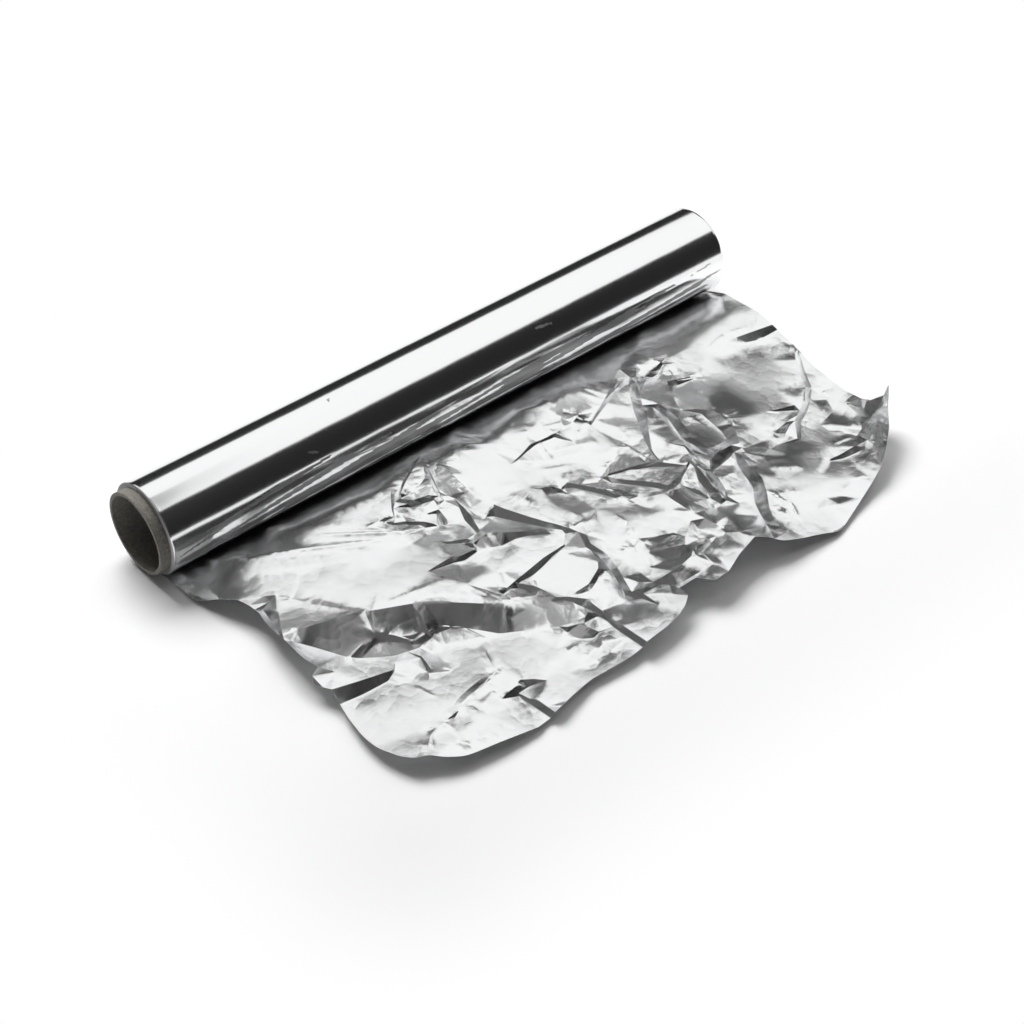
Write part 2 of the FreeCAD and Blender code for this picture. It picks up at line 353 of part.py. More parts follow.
def facets_between(points):
    """Delaunay triangles of plan points, swept from -X to +X."""
    corners = points + [(-far_reach, -far_reach, 0), (far_reach, -far_reach, 0), (0, far_reach, 0)]
    count = len(points)
    live = [((count, count + 1, count + 2), (0.0, 0.0, math.inf))]
    done = []
    for i in sorted(range(count), key=lambda k: points[k][:2]):
        x, y = points[i][:2]
        rim = {}
        kept = []
        for triangle, circle in live:
            reach = circle[2] - (x - circle[0]) ** 2
            if x > circle[0] and reach < 0:
                done.append(triangle)
            elif reach < (y - circle[1]) ** 2:
                kept.append((triangle, circle))
            else:
                for edge in zip(triangle, triangle[1:] + triangle[:1]):
                    rim[frozenset(edge)] = None if frozenset(edge) in rim else edge
        for edge in filter(None, rim.values()):
            triangle = (edge[0], edge[1], i)
            kept.append((triangle, circle_through(*(corners[k] for k in triangle))))
        live = kept
    done += [triangle for triangle, circle in live]
    return [triangle for triangle in done if max(triangle) < count]


def inside(outline, x, y):
    """Whether a plan point lies within the outline."""
    crossings = 0
    for a, b in zip(outline, outline[1:] + outline[:1]):
        if (a[1] > y) != (b[1] > y) and x < a[0] + (b[0] - a[0]) * (y - a[1]) / (b[1] - a[1]):
            crossings += 1
    return crossings % 2 == 1


def real_place(point):
    """Where a point that was read from the eye really is, for a sheet of the real sizes."""
    rise = point[2] / eye[2]
    x = point[0] + rise * (eye[0] - point[0])
    y = point[1] + rise * (eye[1] - point[1])
    return FreeCAD.Vector(
        x * foil_width / drawn_width,
        y * pulled_length / drawn_length,
        point[2] * crumple_height / drawn_height)


def ease_folds(points, triangles):
    """Lets down the folds that lean past the steepest slope, a little at a time."""
    upright = math.cos(math.radians(steepest_fold))
    places = [real_place(point) for point in points]
    for turn in range(ease_turns):
        steep = 0
        for triangle in triangles:
            a, b, c = (places[k] for k in triangle)
            normal = (b - a).cross(c - a)
            if normal.z >= upright * normal.Length:
                continue
            steep += 1
            mean = sum(points[k][2] for k in triangle) / 3
            for k in triangle:
                x, y, height = points[k]
                if height > root_lift:
                    points[k] = (x, y, height + ease_share * (mean - height))
                    places[k] = real_place(points[k])
        if steep == 0:
            break
    return places


def sheet_solid():
    """The pulled sheet: facets between the fold lines, with their underside on or above the table."""
    outline = divided(left_edge + cut_edge[1:] + right_edge[1:] + across(0, root_lift))
    lines = [outline, divided(across(-seat_width, 0))]
    lines += [divided(line) for line in folds.values()] + [[point] for point in fills]
    points, stretches = corners_of(lines)
    points = [climbing(point) for point in points]
    for turn in range(halving_rounds):
        count = len(points)
        stretches = halved(points, stretches, facets_between(points))
        if len(points) == count:
            break
    triangles = []
    for triangle in facets_between(points):
        a, b, c = (points[k] for k in triangle)
        if inside(outline, (a[0] + b[0] + c[0]) / 3, (a[1] + b[1] + c[1]) / 3):
            turn = (b[0] - a[0]) * (c[1] - a[1]) - (b[1] - a[1]) * (c[0] - a[0])
            triangles.append(triangle if turn > 0 else triangle[::-1])
    places = ease_folds(points, triangles)

    used = sorted({k for triangle in triangles for k in triangle})
    number = {k: i for i, k in enumerate(used)}
    below = [places[k] + FreeCAD.Vector(0, 0, table) for k in used]
    above = [place + FreeCAD.Vector(0, 0, sheet_thickness) for place in below]
    size = len(used)
    top = [tuple(number[k] for k in triangle) for triangle in triangles]
    edges = {edge for triangle in top for edge in zip(triangle, triangle[1:] + triangle[:1])}
    rim = [edge for edge in edges if edge[::-1] not in edges]
    facets = [(a + size, b + size, c + size) for a, b, c in top] + [(a, c, b) for a, b, c in top]
    for a, b in rim:
        facets += [(a, b, b + size), (a, b + size, a + size)]
    shell = Part.Shape()
    shell.makeShapeFromMesh((below + above, facets), weld_gap)
    solid = Part.Solid(Part.Shell(shell.Faces))
    print("sheet corners", size, "facets", len(facets), "rim", len(rim))
    return solid


def wound_turns():
    """All the turns on the core, with the bundles' edges stepped at both ends."""
    bundle = wound_depth / turn_bundles
    far_end = []
    for i in range(turn_bundles):
        end = foil_width / 2 - bundle_step * ((turn_bundles - 1 - i) % 2)
        far_end.append(FreeCAD.Vector(end, 0, foil_inner_radius + i * bundle))
        far_end.append(FreeCAD.Vector(end, 0, foil_inner_radius + (i + 1) * bundle))
    near_end = [FreeCAD.Vector(-p.x, 0, p.z) for p in reversed(far_end)]
    profile = Part.Face(Part.makePolygon(far_end + near_end + far_end[:1]))
    return profile.revolve(FreeCAD.Vector(0, 0, 0), FreeCAD.Vector(1, 0, 0), 360)


def core_tube():
    """The plain cardboard tube that the foil is wound on."""
    start = FreeCAD.Vector(-foil_width / 2 - core_stands_out, 0, 0)
    along = FreeCAD.Vector(1, 0, 0)
    outer = Part.makeCylinder(core_outer_radius, core_length, start, along)
    bore = Part.makeCylinder(core_outer_radius - core_wall, core_length, start, along)
    return outer.cut(bore)


def foil():
    """The wound turns and the pulled sheet, which are one strip of foil."""
    return wound_turns().fuse(sheet_solid())


os.makedirs("parts", exist_ok=True)
for name, shape in (("core_tube", core_tube()), ("foil", foil())):
    print(name, shape.isValid(), len(shape.Solids), "solids", round(shape.Volume / 1000, 2), "cm3")
    print(shape.BoundBox)
    shape.exportStep("parts/" + name + ".step")
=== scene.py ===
import math

import bmesh
import bpy
import numpy as np
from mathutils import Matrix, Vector


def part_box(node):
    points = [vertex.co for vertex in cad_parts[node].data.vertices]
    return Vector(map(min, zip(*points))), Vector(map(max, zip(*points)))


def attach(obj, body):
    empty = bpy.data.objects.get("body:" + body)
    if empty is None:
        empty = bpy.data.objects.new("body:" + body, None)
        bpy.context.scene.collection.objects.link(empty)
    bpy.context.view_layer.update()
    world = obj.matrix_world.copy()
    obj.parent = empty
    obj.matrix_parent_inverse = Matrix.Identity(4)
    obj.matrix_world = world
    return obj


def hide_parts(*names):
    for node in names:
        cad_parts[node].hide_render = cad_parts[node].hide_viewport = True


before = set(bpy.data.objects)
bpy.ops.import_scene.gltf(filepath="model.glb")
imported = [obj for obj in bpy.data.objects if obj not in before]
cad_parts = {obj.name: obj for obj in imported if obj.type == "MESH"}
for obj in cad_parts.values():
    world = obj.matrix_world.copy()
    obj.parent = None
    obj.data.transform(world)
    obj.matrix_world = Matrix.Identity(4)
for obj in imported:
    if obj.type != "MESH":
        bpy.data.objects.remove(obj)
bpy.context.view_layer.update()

# Metres. X runs along the roll, the sheet goes towards -Y, and the origin is on the roll's axis.
rollLow, rollHigh = (np.array(corner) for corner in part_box("foil"))
coreLow, coreHigh = (np.array(corner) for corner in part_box("core_tube"))
tableHeight = float(rollLow[2])


# Small helpers for meshes and node trees

def meshPiece(name, points, faces, smooth=True):
    mesh = bpy.data.meshes.new(name)
    mesh.from_pydata([tuple(p) for p in points], [], [tuple(f) for f in faces])
    mesh.validate()
    mesh.update()
    mesh.polygons.foreach_set("use_smooth", [smooth] * len(mesh.polygons))
    piece = bpy.data.objects.new(name, mesh)
    bpy.context.collection.objects.link(piece)
    return piece


# The piece with its modifiers worked into its mesh
def madePlain(piece):
    graph = bpy.context.evaluated_depsgraph_get()
    mesh = bpy.data.meshes.new_from_object(piece.evaluated_get(graph))
    piece.modifiers.clear()
    piece.data = mesh
    return piece


def startMaterial(name):
    material = bpy.data.materials.new(name)
    material.use_nodes = True
    tree = material.node_tree
    tree.nodes.clear()
    output = tree.nodes.new("ShaderNodeOutputMaterial")
    shader = tree.nodes.new("ShaderNodeBsdfPrincipled")
    tree.links.new(shader.outputs[0], output.inputs[0])
    return material, tree, shader


# A node with its settings, and its inputs either linked or set
def addNode(tree, kind, inputs=(), **settings):
    node = tree.nodes.new(kind)
    for key, value in settings.items():
        setattr(node, key, value)
    for key, value in dict(inputs).items():
        socket = node.inputs[key]
        if isinstance(value, bpy.types.NodeSocket):
            tree.links.new(value, socket)
        else:
            socket.default_value = value
    return node


# A number from plain numbers or sockets
def plainMath(tree, operation, *values):
    return addNode(tree, "ShaderNodeMath", dict(enumerate(values)), operation=operation).outputs[0]


# A vector from vectors or their sockets
def vectorMath(tree, operation, *values):
    node = addNode(tree, "ShaderNodeVectorMath", dict(enumerate(values)), operation=operation)
    return node.outputs[0]


def scaledVector(tree, vector, scale):
    return addNode(tree, "ShaderNodeVectorMath", {0: vector, "Scale": scale}, operation="SCALE").outputs[0]


# The view

photoView = {
    "place": (-0.4443, -0.5609, 0.542),
    "pan": 40.79,
    "tilt": 40.84,
    "lens": 73.73,
    "sensor": 36.0,
}


def addCamera():
    data = bpy.data.cameras.new("camera")
    data.lens = photoView["lens"]
    data.sensor_width = photoView["sensor"]
    camera = bpy.data.objects.new("camera", data)
    camera.location = photoView["place"]
    camera.rotation_euler = (math.radians(90 - photoView["tilt"]), 0, -math.radians(photoView["pan"]))
    bpy.context.collection.objects.link(camera)
    bpy.context.scene.camera = camera


# Studio: a pale table that turns to plain white further out, and a soft box above that has dimmer
# parts to the left. A smaller fill behind the roll lights dull surfaces only. All around is dark.

studio = {
    "floorSize": 30.0,
    "floorColour": (0.93, 0.93, 0.935, 1),
    "floorRoughness": 0.9,
    "floorShine": 0.1,
    "whiteFrom": 0.0,
    "whiteFull": 0.08,
    "boxHeight": 1.2,
    "boxSpans": [  # x, y and brightness of each part of the soft box
        ((0.33, 1.6), (-0.6, 1.6), 1.0),
        ((0.0, 0.33), (0.25, 1.6), 0.95),
        ((-0.3, 0.0), (0.25, 1.6), 0.6),
        ((-0.3, 0.33), (-0.6, 0.25), 0.25),
        ((-0.7, -0.3), (-0.6, 1.6), 0.25),
        ((-0.3, 0.55), (1.6, 2.8), 0.9),
        ((1.6, 3.6), (-0.9, 0.9), 0.95),
    ],
    "fillSpan": ((-0.3, 0.5), (0.4, 1.4)),
    "fillLight": 11.6,
    "fillDrop": 0.03,
    "paleWay": (-0.8, -0.3, 0.52),
    "paleFrom": 0.12,
    "paleFull": 0.85,
    "worldDark": 0.02,
    "worldPale": 0.11,
}


def addFloor():
    half = studio["floorSize"] / 2
    corners = [(-half, -half, tableHeight), (half, -half, tableHeight), (half, half, tableHeight),
               (-half, half, tableHeight)]
    floor = meshPiece("floor", corners, [(0, 1, 2, 3)], smooth=False)
    material, tree, shader = startMaterial("paleTable")
    shader.inputs["Base Color"].default_value = studio["floorColour"]
    shader.inputs["Roughness"].default_value = studio["floorRoughness"]
    shader.inputs["Specular IOR Level"].default_value = studio["floorShine"]
    # How far a place is from the rectangle that the roll and the sheet cover
    low = np.minimum(rollLow, coreLow)
    high = np.maximum(rollHigh, coreHigh)
    middle = [(low[0] + high[0]) / 2, (low[1] + high[1]) / 2, tableHeight]
    reach = [(high[0] - low[0]) / 2, (high[1] - low[1]) / 2, 1.0]
    place = addNode(tree, "ShaderNodeTexCoord").outputs["Object"]
    offset = vectorMath(tree, "SUBTRACT", place, middle)
    size = vectorMath(tree, "ABSOLUTE", offset)
    past = vectorMath(tree, "SUBTRACT", size, reach)
    outside = vectorMath(tree, "MAXIMUM", past, (0, 0, 0))
    distance = addNode(tree, "ShaderNodeVectorMath", {0: outside}, operation="LENGTH").outputs["Value"]
    far = addNode(tree, "ShaderNodeMapRange", {
        "Value": distance, "From Min": studio["whiteFrom"], "From Max": studio["whiteFull"],
    }, interpolation_type="SMOOTHSTEP").outputs[0]
    rays = addNode(tree, "ShaderNodeLightPath").outputs
    seen = plainMath(tree, "MAXIMUM", rays["Is Camera Ray"], rays["Is Glossy Ray"])
    seen = plainMath(tree, "MAXIMUM", seen, rays["Is Transmission Ray"])
    share = plainMath(tree, "MULTIPLY", far, seen)
    white = addNode(tree, "ShaderNodeEmission", {"Color": (1, 1, 1, 1), "Strength": 1.0})
    mix = addNode(tree, "ShaderNodeMixShader", {0: share, 1: shader.outputs[0], 2: white.outputs[0]})
    output = next(n for n in tree.nodes if n.type == "OUTPUT_MATERIAL")
    tree.links.new(mix.outputs[0], output.inputs[0])
    floor.data.materials.append(material)


# A level panel of light that shines down, with its brightness as seen
def addPanel(name, spanX, spanY, light):
    data = bpy.data.lights.new(name, "AREA")
    data.shape = "RECTANGLE"
    data.size = spanX[1] - spanX[0]
    data.size_y = spanY[1] - spanY[0]
    data.energy = light * math.pi * data.size * data.size_y
    panel = bpy.data.objects.new(name, data)
    panel.location = (sum(spanX) / 2, sum(spanY) / 2, studio["boxHeight"])
    bpy.context.collection.objects.link(panel)
    return panel


def addLights():
    for spanX, spanY, light in studio["boxSpans"]:
        addPanel("softBox", spanX, spanY, light)
    fill = addPanel("softFill", *studio["fillSpan"], studio["fillLight"])
    fill.location.z -= studio["fillDrop"]
    fill.visible_glossy = False  # it lights dull surfaces only
    world = bpy.data.worlds.new("studioWorld")
    bpy.context.scene.world = world
    world.use_nodes = True
    tree = world.node_tree
    way = addNode(tree, "ShaderNodeTexCoord").outputs["Generated"]
    nearness = addNode(tree, "ShaderNodeVectorMath", {0: way, 1: studio["paleWay"]},
                       operation="DOT_PRODUCT").outputs["Value"]
    level = addNode(tree, "ShaderNodeMapRange", {
        "Value": nearness,
        "From Min": studio["paleFrom"], "From Max": studio["paleFull"],
        "To Min": studio["worldDark"], "To Max": studio["worldPale"],
    }, interpolation_type="SMOOTHSTEP").outputs[0]
    tree.links.new(level, tree.nodes["Background"].inputs["Color"])
    bpy.context.scene.view_settings.view_transform = "Standard"


addCamera()
addFloor()
addLights()
print("camera, floor and light are in")


# Materials

foilLook = {
    "colour": (0.92, 0.925, 0.93, 1),
    "brightRoughness": 0.14,
    "satinRoughness": 0.26,
    "edgeRoughness": 0.5,
    # The edge colour is darker than the foil: painted shade for the light lost in the gaps between the
    # turns; the edges' roughness is their own
    "edgeShadeColour": (0.45, 0.45, 0.455, 1),
    "facetScale": (150, 420),
    "facetTilt": (0.07, 0.04),
    "facetCurl": (16.0, 26.0),
    "calmShare": 0.15,
    "warpScale": 50.0,
    "warpReach": 0.014,
}


# Foil; where it is crumpled, small facets, each slightly rounded, tilt its surface this way and that
def foilMaterial(name, colour, roughness, faceted=False):
    material, tree, shader = startMaterial(name)
    shader.inputs["Base Color"].default_value = colour
    shader.inputs["Metallic"].default_value = 1.0
    shader.inputs["Roughness"].default_value = roughness
    if not faceted:
        return material
    place = addNode(tree, "ShaderNodeTexCoord").outputs["Object"]
    warp = addNode(tree, "ShaderNodeTexNoise", {
        "Vector": place, "Scale": foilLook["warpScale"], "Detail": 2.0,
    })
    bent = vectorMath(tree, "MULTIPLY_ADD", warp.outputs["Color"], (foilLook["warpReach"],) * 3, place)
    crumpled = addNode(tree, "ShaderNodeAttribute", attribute_name="crumpled").outputs["Fac"]
    share = addNode(tree, "ShaderNodeMapRange", {
        "Value": crumpled, "To Min": foilLook["calmShare"], "To Max": 1.0,
    }).outputs[0]
    normal = addNode(tree, "ShaderNodeNewGeometry").outputs["Normal"]
    for scale, tilt, curl in zip(foilLook["facetScale"], foilLook["facetTilt"], foilLook["facetCurl"]):
        cells = addNode(tree, "ShaderNodeTexVoronoi", {"Vector": bent, "Scale": float(scale)})
        lean = vectorMath(tree, "SUBTRACT", cells.outputs["Color"], (0.5, 0.5, 0.5))
        lean = scaledVector(tree, lean, tilt)
        bulge = vectorMath(tree, "SUBTRACT", bent, cells.outputs["Position"])
        lean = vectorMath(tree, "MULTIPLY_ADD", bulge, (curl, curl, curl), lean)
        lean = scaledVector(tree, lean, share)
        normal = vectorMath(tree, "ADD", normal, lean)
    tree.links.new(vectorMath(tree, "NORMALIZE", normal), shader.inputs["Normal"])
    return material


boardLook = {
    "fibreScale": 900.0,
    "darkColour": (0.15, 0.14, 0.125, 1),
    "paleColour": (0.25, 0.235, 0.21, 1),
    "darkUntil": 0.3,
    "paleFrom": 0.7,
    "roughness": 0.85,
    "fibreDepth": 0.0001,
    "fibreStrength": 0.6,
}


# Grey-beige tube board, mottled by its fibres
def boardMaterial():
    material, tree, shader = startMaterial("tubeBoard")
    place = addNode(tree, "ShaderNodeTexCoord").outputs["Object"]
    fibres = addNode(tree, "ShaderNodeTexNoise", {
        "Vector": place, "Scale": boardLook["fibreScale"], "Detail": 4.0,
    }).outputs[0]
    colour = addNode(tree, "ShaderNodeValToRGB", {"Fac": fibres})
    dark, pale = colour.color_ramp.elements
    dark.position = boardLook["darkUntil"]
    dark.color = boardLook["darkColour"]
    pale.position = boardLook["paleFrom"]
    pale.color = boardLook["paleColour"]
    tree.links.new(colour.outputs[0], shader.inputs["Base Color"])
    shader.inputs["Roughness"].default_value = boardLook["roughness"]
    bump = addNode(tree, "ShaderNodeBump", {
        "Height": fibres, "Distance": boardLook["fibreDepth"], "Strength": boardLook["fibreStrength"],
    })
    tree.links.new(bump.outputs[0], shader.inputs["Normal"])
    return material


brightFoil = foilMaterial("brightFoil", foilLook["colour"], foilLook["brightRoughness"])
satinFoil = foilMaterial("satinFoil", foilLook["colour"], foilLook["satinRoughness"], faceted=True)
# The edge foil's grey is painted shade of the gaps between the turns, not the metal's colour
shadedFoilEdge = foilMaterial("shadedFoilEdge", foilLook["edgeShadeColour"], foilLook["edgeRoughness"])
tubeBoard = boardMaterial()
print("materials are in")


# The pulled sheet: the facets of the frame's sheet, smoothed between its creases and crumpled finely

sheetShape = {
    "levels": 2,
    "softAngle": (8.0, 5.0),
    "sharpAngle": (22.0, 15.0),
    "splitAngle": 15.0,
    "thickness": 0.00006,
    "solidThickness": 0.0003,
    "lowestSlant": 0.15,  # a steeper face of the frame's sheet is its rim
    "rollMargin": 5e-5,
    "smallFolds": 60,
    "seed": 11,
    "foldScatter": 0.004,
    "foldLengths": (0.004, 0.016),
    "foldWidths": (0.0025, 0.005),
    "foldRises": (-0.0006, 0.0006),
    "flatUnderRoll": (0.008, 0.01),  # no small folds down to here, and how far they take to grow
    "softReach": 2.0,  # a crease's soft side, and how fast it fades
    "softFade": 2.2,
    "sharpReach": 1.15,
    "sharpFade": 1.1,
    "finePasses": 1,
    "fineReach": 0.4,
    "densityStep": 0.006,
    "denseCount": 3.0,
    "flatWidth": 0.3,
    "flatLength": 0.18,
    "flatArea": 0.048,
}

# Fine creases, as the eye of the view sees them against the table: from (x, y) to (x, y), rise, and
# how wide the crease is to the left and to the right of that way. Millimetres.
sheetCreases = [
    (-6, -12, -14, -28, 0.5, 0.8, 1.2),
    (0.5, -15, -5, -23, 0.4, 0.7, 1.0),
    (-37, -29, -44, -34, 0.4, 0.9, 1.2),
    (-18, -49.7, -13, -47, -0.3, 0.8, 0.8),
    (-13, -60, -10.7, -70, 0.5, 2.2, 0.7),
    (-8.3, -53.5, -10, -60, 0.4, 1.0, 0.8),
    (-6, -60.5, -6, -64.5, 0.4, 0.8, 0.8),
    (-66, -36, -52, -41, 0.6, 2.4, 1.2),
    (16.5, -51, 38, -57, 1.0, 5.0, 3.5),
    (34.5, -51, 38, -50.6, 0.5, 1.6, 0.7),
    (38, -50.6, 43.5, -48, 0.5, 1.6, 0.7),
    (37, -43, 38.3, -48, 0.5, 0.9, 1.6),
    (40, -33, 45.5, -39.5, 0.6, 2.6, 1.4),
    (10, -67.4, 16, -65.3, 0.3, 0.9, 0.7),
    (47.5, -77, 50, -79, 0.4, 0.8, 0.8),
    (95, -61, 92.5, -74, 0.7, 2.0, 2.4),
    (92, -80.5, 99, -81.5, 0.6, 2.4, 1.4),
    (95, -82, 90.5, -88, 0.6, 1.0, 1.4),
    (88, -60, 86.5, -70, 0.3, 0.8, 1.2),
    (-82, -118, -84, -127, 0.4, 1.4, 1.0),
    (-104, -141, -105, -150, 0.5, 1.6, 1.4),
    (-122, -141.5, -125.5, -146.5, 0.4, 1.2, 1.2),
    (-130, -144, -125, -149, 0.4, 1.4, 1.0),
    (-119, -151, -115, -157.5, 0.6, 2.0, 1.6),
    (-112, -155, -105, -160, 0.5, 1.8, 1.4),
    (-100, -144, -91, -142, 0.5, 1.6, 2.2),
    (-67, -144, -48, -143.3, 0.6, 1.0, 2.6),
    (-46, -92.5, -56, -103, 0.9, 1.6, 3.0),
    (-9, -89.5, -5, -91.8, 0.5, 1.4, 0.7),
    (-5, -91.8, 0, -92.3, 0.5, 1.4, 0.7),
    (0, -92.3, 5, -94.7, 0.5, 1.4, 0.7),
    (-1, -82, -1, -92, 0.5, 1.6, 1.6),
    (-60, -111, -65, -119, 0.5, 1.0, 1.2),
    (11.6, -99, 11, -106, 0.5, 1.4, 1.4),
    (11, -106, 8.6, -111, 0.5, 1.4, 1.4),
    (8, -106.5, 3, -116, 0.8, 1.4, 1.2),
    (0, -113, 1.8, -119.3, 0.7, 1.2, 1.2),
    (1.8, -119.3, 8.5, -114.6, 0.7, 1.2, 1.4),
    (81, -118, 92, -126.5, 0.6, 2.6, 1.2),
    (70, -128, 69.5, -138, 0.8, 1.2, 1.2),
    (64, -136, 66, -143, 0.7, 1.2, 1.2),
    (72, -138, 67, -147, 0.7, 1.2, 1.2),
    (70, -132, 80, -138, 0.8, 3.0, 1.2),
    (113, -124.5, 125, -126.5, 0.5, 1.8, 0.9),
    (119, -120, 124, -122.5, 0.5, 1.6, 0.9),
    (127, -120.3, 134, -120.3, 0.5, 1.4, 0.8),
    (93, -148, 104, -146, 0.5, 1.0, 2.4),
    (129, -138, 137, -131, 0.5, 1.0, 1.4),
    (121, -134.5, 137, -128, 0.6, 1.2, 1.8),
    (36.5, -49.5, 54.5, -41, 0.5, 1, 2.2),
    (54.5, -41, 74.5, -33.5, 0.5, 1, 2.2),
    (17, -31.5, 36.5, -38, 0.35, 0.8, 2),
    (1.5, -45.5, 24, -41.5, 0.4, 0.9, 2.2),
    (24, -41.5, 37, -41.5, 0.4, 0.9, 2),
    (41, -32.5, 43, -43.5, 0.35, 0.8, 1.8),
    (45.5, -66.5, 46, -81.5, 0.4, 0.8, 2),
    (51.5, -59.5, 45, -67, 0.35, 0.8, 1.6),
    (23.5, -77, 39, -82.5, 0.5, 1, 3),
    (39, -82.5, 58, -87.5, 0.6, 1, 3.2),
    (10, -69.5, 16, -79, 0.7, 0.9, 1.8),
    (16, -79, 21, -88, 0.7, 0.9, 1.8),
    (21, -88, 22, -100, 0.5, 0.9, 1.8),
    (-1.5, -64.5, 4.5, -68, 0.6, 0.8, 1.6),
    (4.5, -68, 5.5, -74.5, 0.6, 0.8, 1.4),
    (22.5, -78, 38.5, -69, 0.4, 0.9, 2),
    (38.5, -69, 50, -61, 0.35, 0.8, 1.8),
    (79.5, -62.5, 81, -83, 0.35, 0.8, 2.2),
    (82, -46.5, 97.5, -37.5, 0.5, 0.8, 1.8),
    (97.5, -37.5, 93, -49, 0.4, 0.8, 1.6),
    (93, -49, 105, -55.5, 0.35, 0.8, 2.2),
    (-10, -63.5, -10.5, -74.5, 0.4, 0.8, 1.6),
    (-17, -46.5, -18, -54, 0.3, 0.7, 1.2),
    (-9, -53.5, -10, -63.5, 0.35, 0.8, 1.4),
    (0.5, -86.5, 12, -93.5, 0.3, 0.8, 2.2),
    (12, -93.5, 10.5, -108.5, 0.35, 0.8, 2),
    (6.5, -55.5, 21.5, -63, 0.3, 0.8, 2.4),
    (30, -98, 44, -103, 0.35, 0.8, 2.4),
    (-10.5, -90.5, 5, -95, 0.5, 0.9, 2.2),
    (5.5, -116, 19.5, -120, 0.5, 0.8, 2),
    (120.5, -41.5, 134, -38, 0.4, 1.2, 3),
    (134, -38, 152, -42, 0.3, 1.2, 3.4),
    (-26, -38.5, -31, -56.5, 0.5, 0.9, 2.4),
    (-6, -10, -14.5, -26, 0.35, 0.8, 1.8),
    (-4.5, -17, -8.5, -28, 0.3, 0.7, 1.4),
    (-88.5, -28, -61, -49, 0.6, 1.3, 4),
    (-123.5, -16.5, -66, -50, 0.6, 3, 1.6),
    (-122, -143.5, -97, -138, 0.5, 1, 2.4),
    (-97, -138, -80.5, -134.5, 0.5, 1, 2.2),
    (-102.5, -142, -103, -152.5, 0.35, 0.8, 1.6),
    (-100.5, -109.5, -102.5, -118.5, 0.5, 0.9, 1.4),
    (-91.5, -146, -81.5, -145, 0.5, 0.9, 2),
    (-122, -47, -102.5, -75.5, 0.45, 0.9, 2.6),
    (-91, -77.5, -63.5, -82, 0.45, 0.9, 3),
    (-63.5, -82, -57, -106, 0.35, 1, 3),
    (-79.5, -121, -83, -130, 0.3, 0.8, 1.8),
    (-123.5, -144.5, -116, -139, 0.35, 0.8, 1.8),
    (-111.5, -120.5, -110, -129, 0.3, 0.8, 2),
    (-71, -37, -59, -38.5, 0.5, 1.4, 2.4),
    (-108, -81.5, -97.5, -101.5, 0.7, 1.2, 2.4),
    (-97.5, -101.5, -85, -101.5, 0.7, 1.2, 2),
    (-85, -101.5, -77.5, -109.5, 0.6, 1.2, 2),
    (-123, -93, -111.5, -89.5, 0.6, 1.2, 1.6),
]


# The upper faces of the sheet, copied from the frame's foil
def frameSheet():
    work = bmesh.new()
    work.from_mesh(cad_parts["foil"].data)
    bmesh.ops.remove_doubles(work, verts=work.verts, dist=1e-6)
    work.normal_update()
    rollReach = -tableHeight + sheetShape["rollMargin"]
    gone = [f for f in work.faces if f.normal.z < sheetShape["lowestSlant"]
            or all(math.hypot(v.co.y, v.co.z) < rollReach for v in f.verts)]
    bmesh.ops.delete(work, geom=gone, context="FACES")
    return work


def addSheet():
    work = frameSheet()
    corners = np.array([v.co[:] for v in work.verts])
    crease = work.edges.layers.float.new("crease_edge")
    crumpled = crumpledShare(corners, corners)
    for edge in work.edges:
        if len(edge.link_faces) == 2:
            share = (crumpled[edge.verts[0].index] + crumpled[edge.verts[1].index]) / 2
            soft, sharp = (math.radians(calm + share * (busy - calm))
                           for calm, busy in (sheetShape["softAngle"], sheetShape["sharpAngle"]))
            edge[crease] = min(1.0, max(0.0, (edge.calc_face_angle() - soft) / (sharp - soft)))
    mesh = bpy.data.meshes.new("foilSheet")
    work.to_mesh(mesh)
    work.free()
    piece = bpy.data.objects.new("foilSheet", mesh)
    bpy.context.collection.objects.link(piece)
    rounding = piece.modifiers.new("rounding", "SUBSURF")
    rounding.levels = rounding.render_levels = sheetShape["levels"]
    madePlain(piece)
    refine(piece)

    places = placesOf(piece.data)
    places[:, 2] += crumple(places, corners)
    places[:, 2] += creaseRise(seenFrom(places))
    places[:, 2] -= sheetShape["solidThickness"] - sheetShape["thickness"]
    places[:, 2] = np.maximum(places[:, 2], tableHeight + sheetShape["thickness"])
    piece.data.vertices.foreach_set("co", places.ravel())
    piece.data.update()
    piece.data.polygons.foreach_set("use_smooth", [True] * len(piece.data.polygons))
    wall = piece.modifiers.new("wall", "SOLIDIFY")
    wall.thickness = sheetShape["thickness"]
    wall.offset = -1.0
    piece.data.materials.append(satinFoil)
    piece.data.materials.append(brightFoil)
    wall.material_offset = 1
    madePlain(piece)
    piece.data.set_sharp_from_angle(angle=math.radians(sheetShape["splitAngle"]))
    share = crumpledShare(placesOf(piece.data), corners).astype(np.float32)
    piece.data.attributes.new("crumpled", "FLOAT", "POINT").data.foreach_set("value", share)
    return piece


# How crumpled the sheet is at places, from 0 to 1, by how densely the frame's corners lie there
def crumpledShare(places, corners):
    step = sheetShape["densityStep"]
    spans = [np.arange(low - 2 * step, high + 3 * step, step)
             for low, high in zip(rollLow[:2], rollHigh[:2])]
    density, xs, ys = np.histogram2d(corners[:, 0], corners[:, 1], bins=spans)
    density = sum(np.roll(density, (i, j), (0, 1)) for i in (-1, 0, 1) for j in (-1, 0, 1)) / 9
    column = np.clip(((places[:, 0] - xs[0]) / step).astype(int), 0, density.shape[0] - 1)
    row = np.clip(((places[:, 1] - ys[0]) / step).astype(int), 0, density.shape[1] - 1)
    return np.clip(density[column, row] / sheetShape["denseCount"], 0, 1)


def placesOf(mesh):
    places = np.empty(len(mesh.vertices) * 3)
    mesh.vertices.foreach_get("co", places)
    return places.reshape(-1, 3)


